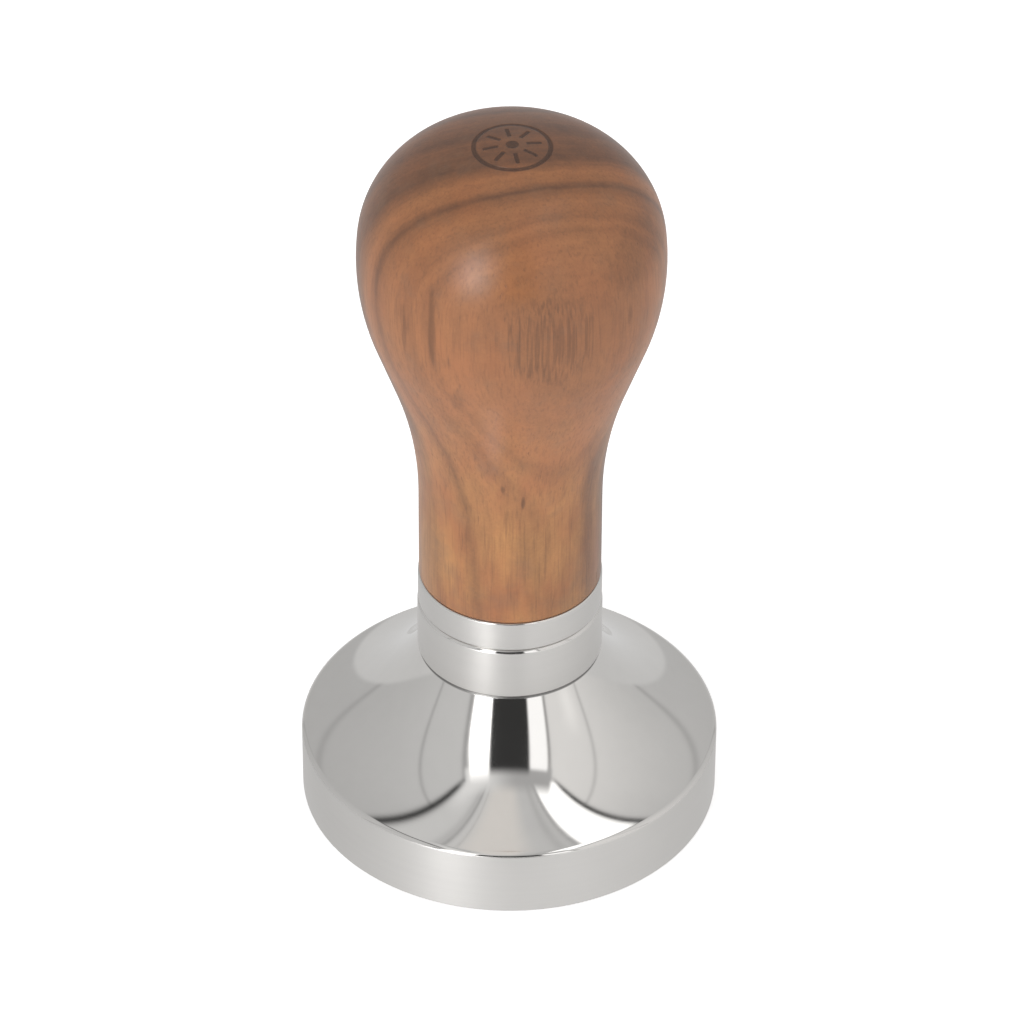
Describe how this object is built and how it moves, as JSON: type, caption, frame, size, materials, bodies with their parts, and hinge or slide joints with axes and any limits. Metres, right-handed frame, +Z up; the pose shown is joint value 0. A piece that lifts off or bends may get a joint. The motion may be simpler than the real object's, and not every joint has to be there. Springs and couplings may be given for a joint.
{
  "type": "espresso tamper",
  "caption": "Hand tamper with a flat round steel piston, a polished coved bell, two satin steel rings and a turned wooden knob handle that unscrews from the piston.",
  "frame": {"origin": "centre of the flat tamping face, which the tamper stands on", "axes": "+Z up along the turning axis, from the tamping face to the crown of the handle; +X and +Y are alike"},
  "size_m": [0.058, 0.058, 0.1078],
  "materials": {
    "polished_steel": "stainless steel, mirror-polished bell and satin turned rim",
    "satin_steel": "stainless steel, satin with fine turned lines",
    "zinc_steel": "zinc-plated steel thread",
    "brass": "turned brass",
    "walnut": "walnut, sanded fine and oiled to a satin sheen",
    "nylon": "natural nylon",
    "rubber": "black nitrile rubber"
  },
  "bodies": {
    "piston": {"base_piston": "polished_steel", "collar_o_ring": "rubber", "lower_collar": "satin_steel"},
    "washer": {"friction_washer": "nylon"},
    "handle": {"upper_ring": "satin_steel", "threaded_insert": "brass", "threaded_stud": "zinc_steel", "wood_handle": "walnut"}
  },
  "joints": [
    {"name": "handle_lift", "type": "slide", "parent": "piston", "child": "washer", "axis": [0, 0, 1], "range_m": [0, 0.0121]},
    {"name": "handle_turn", "type": "hinge", "parent": "washer", "child": "handle", "pos_m": [0, 0, 0.035], "axis": [0, 0, 1], "range_deg": [0, 2880]}
  ],
  "couplings": [
    {"joint": "handle_lift", "follows": "handle_turn", "m_per_rad": 0.00023873}
  ]
}
